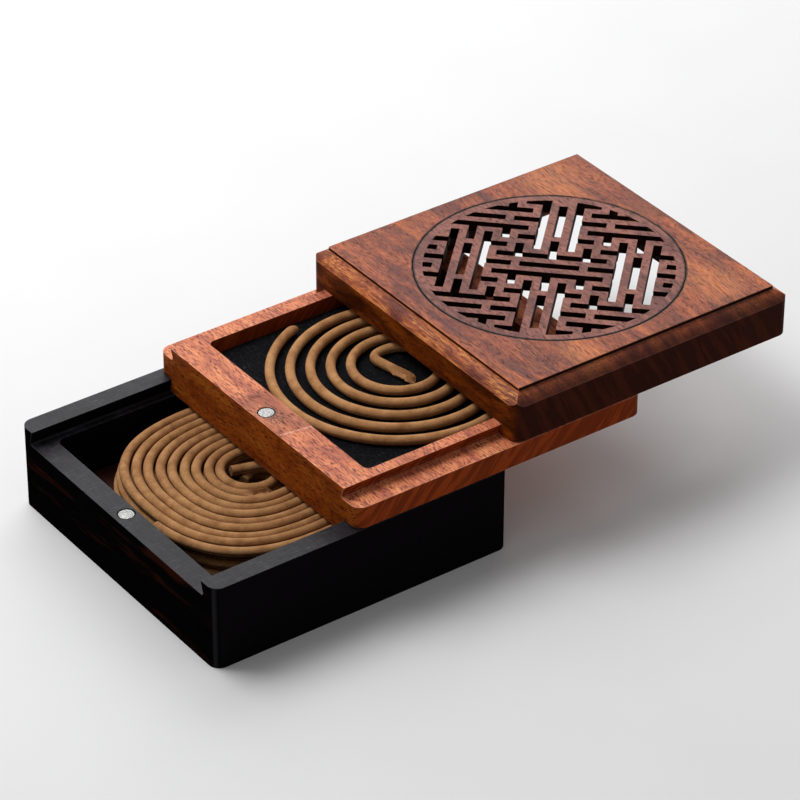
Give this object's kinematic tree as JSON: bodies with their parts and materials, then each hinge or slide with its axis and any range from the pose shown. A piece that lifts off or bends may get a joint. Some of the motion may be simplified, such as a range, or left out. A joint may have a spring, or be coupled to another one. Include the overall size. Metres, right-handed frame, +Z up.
{
  "type": "coil incense burner",
  "caption": "Square wooden incense burner in three sliding tiers: a store for spare coils, a tray with a fire-proof mat, and a lid with a fret grille.",
  "frame": {"origin": "centre of the underside of the lower box, on the table", "axes": "+Z up; +X the way the tray and the lid slide open; +Y across the slide"},
  "size_m": [0.242, 0.12, 0.0601],
  "materials": {
    "ebony": "near-black waxed wood with a grey sheen",
    "tray_rosewood": "waxed orange-brown rosewood",
    "lid_rosewood": "waxed dark rosewood with open grain",
    "grille_rosewood": "waxed rosewood, slightly pinker than the lid",
    "incense": "pressed wood powder, matte and slightly grainy",
    "mat": "black fire-proof felt",
    "magnet": "nickel plate"
  },
  "bodies": {
    "box": {"box_body": "ebony", "box_magnet": "magnet", "stored_coil_1a": "incense", "stored_coil_1b": "incense", "stored_coil_2a": "incense", "stored_coil_2b": "incense", "stored_coil_3a": "incense", "stored_coil_3b": "incense", "stored_coil_4a": "incense", "stored_coil_4b": "incense", "stored_coil_5a": "incense", "stored_coil_5b": "incense"},
    "tray": {"tray_body": "tray_rosewood", "tray_under_magnet": "magnet", "tray_top_magnet": "magnet", "fireproof_mat": "mat", "burning_coil": "incense"},
    "lid": {"lid_body": "lid_rosewood", "lid_magnet": "magnet", "lid_grille": "grille_rosewood"}
  },
  "joints": [
    {"name": "tray_slide", "type": "slide", "parent": "box", "child": "tray", "axis": [1, 0, 0], "range_m": [-0.057, 0.023]},
    {"name": "lid_slide", "type": "slide", "parent": "tray", "child": "lid", "axis": [1, 0, 0], "range_m": [-0.065, 0.015]}
  ]
}
